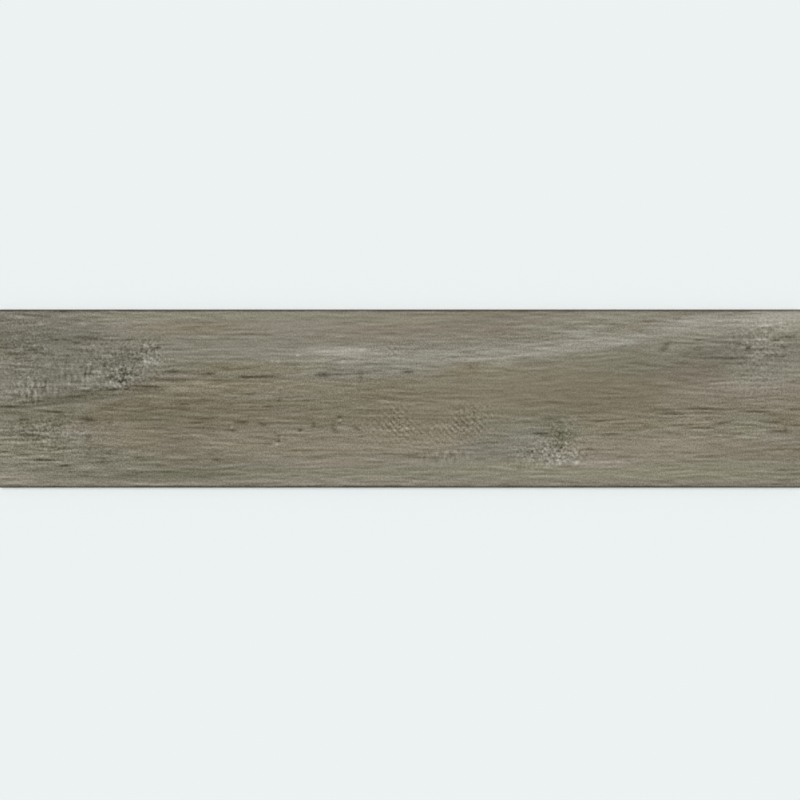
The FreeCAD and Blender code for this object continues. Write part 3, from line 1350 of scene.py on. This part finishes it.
@dataclass
class PrintedPlank:
    """The tile itself: the CAD solid with its face divided, relieved and printed.

    Attributes:
        node: The CAD node that the piece stands for.
        body: The CAD body that it rides on.
        slot: The record's material slot; not used.
        name: The piece's name.
        arris: The radius of the rounded edge of the face, in mm.
        seam: The gap between the divided face and the arris, closed by a narrow flat strip, in mm.
        cells_along: How many cells the face has along the plank.
        cells_across: How many it has across.
        relief: How deep the grain's hollows are pressed, in mm.
        stroke_relief: How deep the darkest strokes are pressed, in mm.
        deepest: The deepest that any place is pressed, in mm.
        hollow_span: How dark a streak is where its hollow starts, and where it is fully deep.
        plain_rim: How far from the arris the relief starts and reaches its depth, in mm.
        smooth_angle: The largest angle between two faces that are shaded as one, in degrees.
        rim_shade_width: How far from the long edges' arris the print is still darkened as painted shade, in
            mm.
        rim_shade_level: How much darker the print is painted along that arris, as painted shade of the
            rounded edge, as a share.
        figure: The wood figure that is printed on it.
        glaze: The finish of the face.
        porcelain: The finish of everything else.
    """

    node: str = "plank_tile"
    body: str = "root"
    slot: str = "glazed_porcelain"
    name: str = "printed_plank"
    arris: float = 0.9
    seam: float = 0.2
    cells_along: int = 376
    cells_across: int = 240
    relief: float = 0.22
    stroke_relief: float = 0.9
    deepest: float = 0.34
    hollow_span: Span = (-0.15, 0.75)
    plain_rim: Span = (0.3, 3.0)
    smooth_angle: float = 35.0
    rim_shade_width: float = 2.4
    rim_shade_level: float = -0.36
    figure: WoodFigure = field(default_factory=WoodFigure)
    glaze: PrintedGlaze = field(default_factory=PrintedGlaze)
    porcelain: PorcelainBody = field(default_factory=PorcelainBody)

    def build(self) -> bpy.types.Object:
        """Makes the tile, dresses it and hands it to the frame.

        Returns:
            The finished piece.
        """
        lowest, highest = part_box(self.node)
        face_height = highest.z
        flat_size = (highest - lowest) - Vector((2.0, 2.0, 0.0)) * self.arris * MM
        plank = self._open_shell(face_height)
        self._join_face(plank, face_height, flat_size)
        self._draw_figure(plank, face_height, flat_size)
        self._dress(plank, face_height)
        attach(plank, self.body)
        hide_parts(self.node)
        return plank

    def _open_shell(self, face_height: float) -> bpy.types.Object:
        """Copies the CAD solid, merges its loose triangles and takes off its flat face.

        Args:
            face_height: How high the face lies, in metres.

        Returns:
            The copy, open at the top.
        """
        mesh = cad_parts[self.node].data.copy()
        mesh.name = self.name
        mesh.materials.clear()
        plank = bpy.data.objects.new(self.name, mesh)
        bpy.context.scene.collection.objects.link(plank)
        focus(plank)
        bpy.ops.object.mode_set(mode="EDIT")
        bpy.ops.mesh.select_all(action="SELECT")
        bpy.ops.mesh.customdata_custom_splitnormals_clear()
        bpy.ops.mesh.remove_doubles(threshold=TOUCH)
        bpy.ops.mesh.select_all(action="DESELECT")
        bpy.ops.object.mode_set(mode="OBJECT")
        for face in plank.data.polygons:
            face.select = all(plank.data.vertices[i].co.z > face_height - TOUCH for i in face.vertices)
        bpy.ops.object.mode_set(mode="EDIT")
        bpy.ops.mesh.select_mode(type="FACE")
        bpy.ops.mesh.delete(type="FACE")
        bpy.ops.object.mode_set(mode="OBJECT")
        return plank

    def _join_face(self, plank: bpy.types.Object, face_height: float, flat_size: Vector) -> None:
        """Adds the divided face inside the arris and closes the seam round it.

        Args:
            plank: The shell, open at the top.
            face_height: How high the face lies, in metres.
            flat_size: The size of the flat face inside the arris, in metres.
        """
        bpy.ops.mesh.primitive_grid_add(
            x_subdivisions=self.cells_along,
            y_subdivisions=self.cells_across,
            size=1.0,
            location=(0.0, 0.0, face_height),
        )
        face = bpy.context.object
        face.scale = (flat_size.x - 2.0 * self.seam * MM, flat_size.y - 2.0 * self.seam * MM, 1.0)
        bpy.ops.object.transform_apply(location=True, rotation=True, scale=True)
        plank.select_set(True)
        bpy.context.view_layer.objects.active = plank
        bpy.ops.object.join()
        bpy.ops.object.mode_set(mode="EDIT")
        bpy.ops.mesh.select_mode(type="EDGE")
        bpy.ops.mesh.select_all(action="DESELECT")
        bpy.ops.mesh.select_non_manifold(use_wire=False, use_multi_face=False, use_verts=False)
        bpy.ops.mesh.fill(use_beauty=True)
        bpy.ops.mesh.select_all(action="DESELECT")
        bpy.ops.mesh.select_non_manifold()
        bpy.ops.object.mode_set(mode="OBJECT")
        open_edges = sum(edge.select for edge in plank.data.edges)
        LOG.info("%s: %d open edges", self.name, open_edges)

    def _draw_figure(self, plank: bpy.types.Object, face_height: float, flat_size: Vector) -> None:
        """Writes the figure's fields on the mesh and presses its relief into the face.

        Args:
            plank: The closed mesh.
            face_height: How high the face lies, in metres.
            flat_size: The size of the flat face inside the arris, in metres.
        """
        mesh = plank.data
        points = self._read(mesh.vertices, "co")
        on_face = points[:, 2] > face_height - TOUCH
        places = points[on_face, :2] / MM
        fields = self.figure.fields_at(places)
        half_size = np.array(flat_size[:2]) / 2.0 / MM
        to_edges = half_size - np.abs(places)
        to_rim = to_edges.min(axis=1)

        # The print is darkened along the long edges as painted shade of the rounded arris.
        rim_shade = 1.0 - smooth_step((0.0, self.rim_shade_width), to_edges[:, 1])
        fields.stain[:, 0] += self.rim_shade_level * rim_shade
        flow = np.pad(fields.fibres * MM, ((0, 0), (0, 1)))
        self._write(mesh, "grain_flow", Kind.VECTOR, on_face, flow)
        self._write(mesh, "stain", Kind.VECTOR, on_face, fields.stain)
        self._write(mesh, "breakup", Kind.CHANNELS, on_face, fields.breakup)
        self._write(mesh, "grain", Kind.NUMBER, on_face, fields.grain[:, None])
        self._write(mesh, "coarseness", Kind.VECTOR, on_face, fields.coarseness)

        hollow = self.relief * smooth_step(self.hollow_span, -fields.grain)
        depth = np.minimum(hollow + self.stroke_relief * fields.cut, self.deepest)
        depth *= smooth_step(self.plain_rim, to_rim)
        points[on_face, 2] -= depth * MM
        mesh.vertices.foreach_set("co", points.ravel())
        mesh.update()

    @staticmethod
    def _write(mesh: bpy.types.Mesh, name: str, kind: Kind, where: np.ndarray, values: np.ndarray) -> None:
        """Writes one attribute on some of a mesh's vertices, and 0 on the others.

        Args:
            mesh: The mesh.
            name: The attribute's name.
            kind: Its kind.
            where: Which vertices get a value.
            values: The values, one row for each of those.
        """
        data_type, key = kind.value
        attribute = mesh.attributes.new(name, data_type, "POINT")
        whole = np.zeros((len(where), values.shape[1]))
        whole[where] = values
        attribute.data.foreach_set(key, whole.ravel())

    def _dress(self, plank: bpy.types.Object, face_height: float) -> None:
        """Gives the faces their finishes and smooths what is rounded.

        Args:
            plank: The relieved mesh.
            face_height: How high the face lies, in metres.
        """
        mesh = plank.data
        mesh.materials.append(self.glaze.build())
        mesh.materials.append(self.porcelain.build())
        middles = self._read(mesh.polygons, "center")
        normals = self._read(mesh.polygons, "normal")
        slack = 0.02
        edge = np.array(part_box(self.node)[1][:2]) - (self.arris - slack) * MM
        inside = (np.abs(middles[:, :2]) < edge).all(axis=1)
        facing_up = normals[:, 2] > 0.5
        upper_half = middles[:, 2] > face_height / 2.0
        printed = inside & facing_up & upper_half
        mesh.polygons.foreach_set("material_index", np.where(printed, 0, 1).astype(np.int32))
        focus(plank)
        bpy.ops.object.shade_smooth_by_angle(angle=math.radians(self.smooth_angle))

    @staticmethod
    def _read(items: bpy.types.bpy_prop_collection, key: str) -> np.ndarray:
        """Reads one vector of every item of a mesh, as rows of three numbers."""
        values = np.empty(len(items) * 3)
        items.foreach_get(key, values)
        return values.reshape(-1, 3)


@dataclass(frozen=True)
class Studio:
    """The pale floor, the soft light and the camera.

    Attributes:
        backdrop: The colour of the floor and of what lies beyond it.
        floor_size: The floor's side, in metres.
        floor_gap: How far below the bed the floor lies, in mm, so that no two faces coincide.
        floor_opening: How far inside the tile's outline the floor under it is open, in mm, so that its
            back gets light.
        sky: The share of the light that comes evenly from all round.
        sun_from: The direction that the rest comes from.
        sun_softness: How wide the sun looks, in degrees.
        lens: The camera's lens, in mm.
        frame_width: How much of the plank's length the picture takes in, in mm.
        frame_middle: How far across the plank the middle of the picture lies, in mm.
    """

    backdrop: Colour = (0.838, 0.888, 0.888)
    floor_size: float = 24.0
    floor_gap: float = 0.1
    floor_opening: float = 2.0
    sky: float = 0.38
    sun_from: tuple[float, float, float] = (-0.12, 0.08, 1.0)
    sun_softness: float = 32.0
    lens: float = 100.0
    frame_width: float = 897.4
    frame_middle: float = -1.57

    def build(self) -> None:
        """Makes the whole set."""
        self._floor()
        self._world()
        self._sun()
        self._camera()
        bpy.context.scene.view_settings.view_transform = "Standard"

    def _floor(self) -> None:
        """Lays the floor just under the tile, open where the tile hides it and clear when seen from below."""
        bpy.ops.mesh.primitive_plane_add(size=self.floor_size, location=(0.0, 0.0, -self.floor_gap * MM))
        floor = bpy.context.object
        floor.name = "studio_floor"
        lowest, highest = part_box("plank_tile")
        opening = (highest - lowest) - Vector((2.0, 2.0, 0.0)) * self.floor_opening * MM
        inner_size = self.floor_size / 2.0
        bpy.ops.object.mode_set(mode="EDIT")
        bpy.ops.mesh.select_all(action="SELECT")
        bpy.ops.mesh.inset(thickness=self.floor_size / 4.0)
        bpy.ops.transform.resize(value=(opening.x / inner_size, opening.y / inner_size, 1.0))
        bpy.ops.mesh.delete(type="FACE")
        bpy.ops.object.mode_set(mode="OBJECT")
        material = bpy.data.materials.new("studio_floor")
        graph = NodeGraph.blank(material)
        paint = graph.add("ShaderNodeBsdfDiffuse", (*self.backdrop, 1.0))
        clear = graph.add("ShaderNodeBsdfTransparent")
        side = graph.add("ShaderNodeNewGeometry").outputs["Backfacing"]
        graph.add("ShaderNodeOutputMaterial", graph.either(side, paint.outputs[0], clear.outputs[0]))
        floor.data.materials.append(material)

    def _world(self) -> None:
        """Lights the set evenly from all round, and shows the backdrop to the camera."""
        world = bpy.data.worlds.new("studio")
        graph = NodeGraph.blank(world)
        white = (1.0, 1.0, 1.0, 1.0)
        light = graph.add("ShaderNodeBackground", white, self.sky)
        backdrop = graph.add("ShaderNodeBackground", (*self.backdrop, 1.0), 1.0)
        seen = graph.add("ShaderNodeLightPath").outputs["Is Camera Ray"]
        graph.add("ShaderNodeOutputWorld", graph.either(seen, light.outputs[0], backdrop.outputs[0]))
        bpy.context.scene.world = world

    def _sun(self) -> None:
        """Adds the soft light from one side, so that the light on the floor comes to 1 in all."""
        direction = Vector(self.sun_from).normalized()
        light = bpy.data.lights.new("soft_sun", "SUN")
        light.energy = (1.0 - self.sky) * math.pi / direction.z
        light.angle = math.radians(self.sun_softness)
        sun = bpy.data.objects.new("soft_sun", light)
        sun.rotation_mode = "QUATERNION"
        sun.rotation_quaternion = direction.to_track_quat("Z", "Y")
        bpy.context.scene.collection.objects.link(sun)

    def _camera(self) -> None:
        """Hangs the camera straight above the tile."""
        data = bpy.data.cameras.new("camera")
        data.lens = self.lens
        data.clip_end = 100.0
        camera = bpy.data.objects.new("camera", data)
        face_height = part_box("plank_tile")[1].z
        distance = self.frame_width * MM * self.lens / data.sensor_width
        camera.location = (0.0, self.frame_middle * MM, face_height + distance)
        bpy.context.scene.collection.objects.link(camera)
        bpy.context.scene.camera = camera


def main() -> None:
    """Builds the tile and the studio in order, and reports each."""
    logging.basicConfig(level=logging.INFO, format="%(name)s: %(message)s")
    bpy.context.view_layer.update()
    plank = PrintedPlank().build()
    triangles = sum(len(polygon.vertices) - 2 for polygon in plank.data.polygons)
    LOG.info("%s: %d triangles", plank.name, triangles)
    Studio().build()
    LOG.info("studio: floor, light and camera are in place")


if __name__ == "__main__":
    main()
